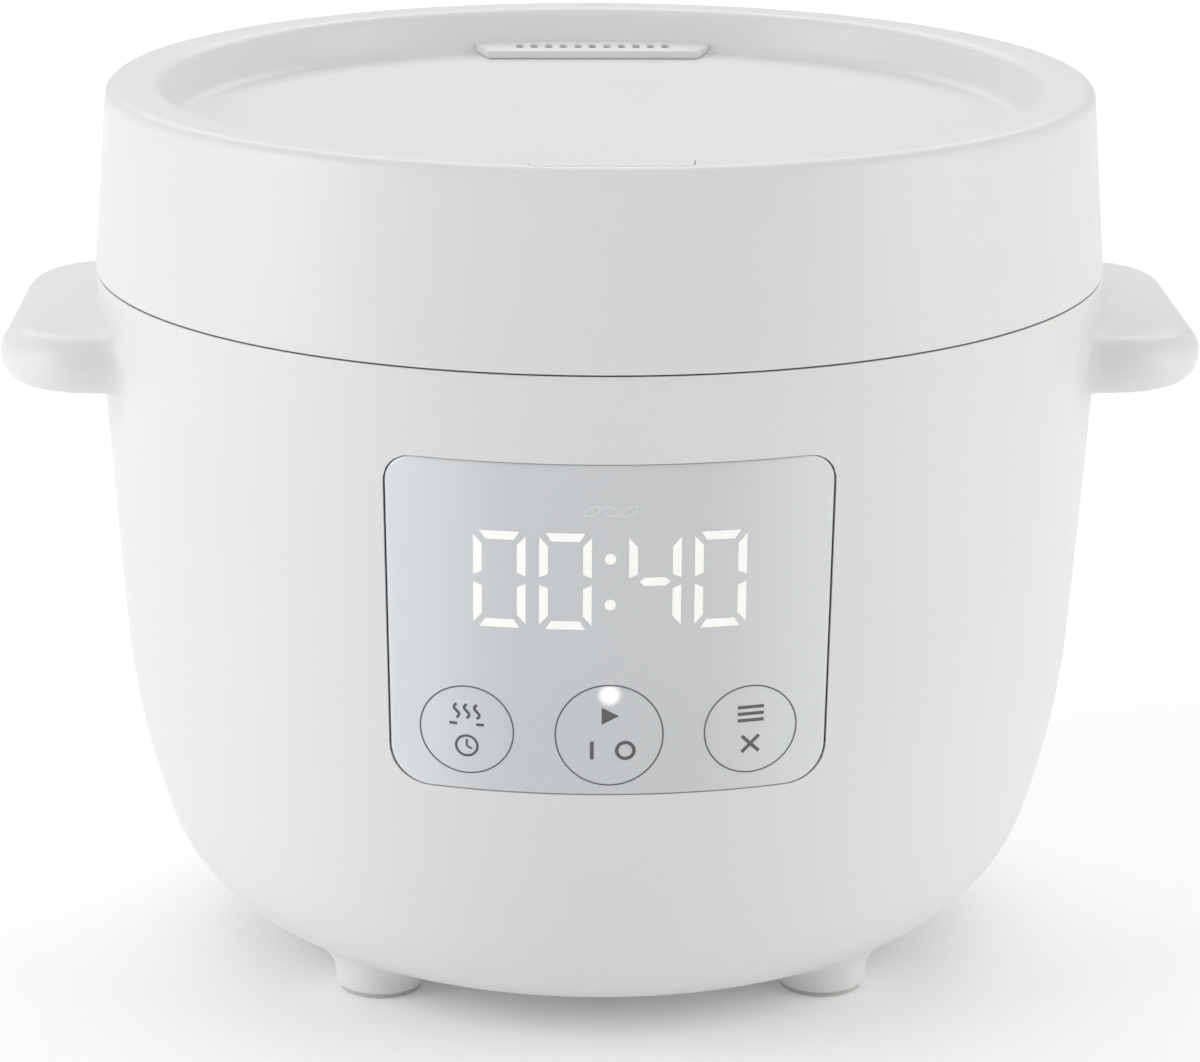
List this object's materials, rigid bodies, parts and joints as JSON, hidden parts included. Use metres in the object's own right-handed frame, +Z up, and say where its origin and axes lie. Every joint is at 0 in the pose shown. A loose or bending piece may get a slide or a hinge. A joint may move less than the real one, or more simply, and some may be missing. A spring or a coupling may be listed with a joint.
{
  "type": "rice cooker",
  "caption": "Small round digital rice cooker with a hinged dished lid, removable pot, curved touch panel, side handles and moulded feet.",
  "frame": {"origin": "on the ground, on the axis of the round body", "axes": "+Z up, +X to the right seen from the front, the front with the panel faces -Y"},
  "size_m": [0.2532, 0.2183, 0.1885],
  "materials": {
    "shell_plastic": "satin moulded white plastic with a fine grain",
    "inner_plastic": "satin light grey plastic",
    "base_plastic": "matt white plastic",
    "panel_lens": "glossy light grey lens, back printed",
    "lit_segment": "warm white light guide, lit",
    "status_light": "white light guide, lit",
    "dark_plastic": "matt black plastic",
    "rubber": "light grey soft rubber",
    "silicone": "translucent silicone rubber",
    "steel": "plain bright steel",
    "galvanised_steel": "galvanised sheet steel",
    "aluminium": "brushed aluminium",
    "cast_aluminium": "machined die cast aluminium",
    "heater_tube": "heat darkened steel tube",
    "pot_coating": "speckled dark grey non-stick coating",
    "circuit_board": "green solder mask",
    "component_blue": "blue moulded relay case",
    "component_yellow": "yellow winding tape",
    "wire_red": "red silicone wire sleeve",
    "fuse_body": "tan fuse body",
    "ribbon": "grey flat cable",
    "brass": "plated brass blades"
  },
  "bodies": {
    "root": {"body_shell": "shell_plastic", "handle_left": "shell_plastic", "handle_right": "shell_plastic", "top_collar": "inner_plastic", "collar_screws": "steel", "base_cover": "base_plastic", "base_screws": "steel", "foot_post_1": "shell_plastic", "foot_post_2": "shell_plastic", "foot_post_3": "shell_plastic", "foot_post_4": "shell_plastic", "foot_pad_1": "rubber", "foot_pad_2": "rubber", "foot_pad_3": "rubber", "foot_pad_4": "rubber", "heat_liner": "galvanised_steel", "heating_plate": "cast_aluminium", "heater_tube": "heater_tube", "plate_posts": "steel", "heater_leads": "wire_red", "sensor_holder": "galvanised_steel", "sensor_spring": "steel", "thermal_fuse": "fuse_body", "inner_pot": "pot_coating", "control_panel": "panel_lens", "lit_segments": "lit_segment", "status_light": "status_light", "display_module": "dark_plastic", "control_board": "circuit_board", "control_chip": "dark_plastic", "buzzer": "dark_plastic", "touch_spring_1": "steel", "touch_spring_2": "steel", "touch_spring_3": "steel", "ribbon_cable": "ribbon", "power_board": "circuit_board", "relay": "component_blue", "transformer": "component_yellow", "capacitor": "dark_plastic", "inlet_socket": "dark_plastic", "inlet_pins": "brass", "hinge_pin": "steel", "hinge_springs": "steel", "latch_striker": "galvanised_steel"},
    "lid": {"lid_shell": "shell_plastic", "lid_dish": "shell_plastic", "lid_base": "inner_plastic", "lid_screws": "steel", "inner_lid_plate": "aluminium", "lid_gasket": "silicone", "plate_grommet": "silicone", "steam_cup": "inner_plastic", "steam_seal": "silicone", "latch_bracket": "galvanised_steel", "latch_pivot_pin": "steel", "button_spring": "steel"},
    "release_button": {"release_button": "shell_plastic"},
    "latch_hook": {"latch_hook": "inner_plastic"},
    "sensor_cap": {"sensor_cap": "aluminium"},
    "vent_cover": {"vent_cover": "shell_plastic"}
  },
  "joints": [
    {"name": "lid_hinge", "type": "hinge", "parent": "root", "child": "lid", "pos_m": [0, 0.1055, 0.15], "axis": [-1, 0, 0], "range_deg": [0, 85]},
    {"name": "button_press", "type": "slide", "parent": "lid", "child": "release_button", "axis": [0, 0, -1], "range_m": [0, 0.0025], "stiffness_N_per_m": 600, "springref_m": -0.002},
    {"name": "latch_swing", "type": "hinge", "parent": "lid", "child": "latch_hook", "pos_m": [0, -0.098, 0.163], "axis": [-1, 0, 0], "range_deg": [0, 15]},
    {"name": "sensor_press", "type": "slide", "parent": "root", "child": "sensor_cap", "axis": [0, 0, -1], "range_m": [0, 0.0025], "stiffness_N_per_m": 400, "springref_m": -0.002},
    {"name": "vent_cover_lift", "type": "slide", "parent": "lid", "child": "vent_cover", "axis": [0, 0, 1], "range_m": [0, 0.03]}
  ],
  "couplings": [
    {"joint": "latch_swing", "follows": "button_press", "rad_per_m": 104.7}
  ]
}
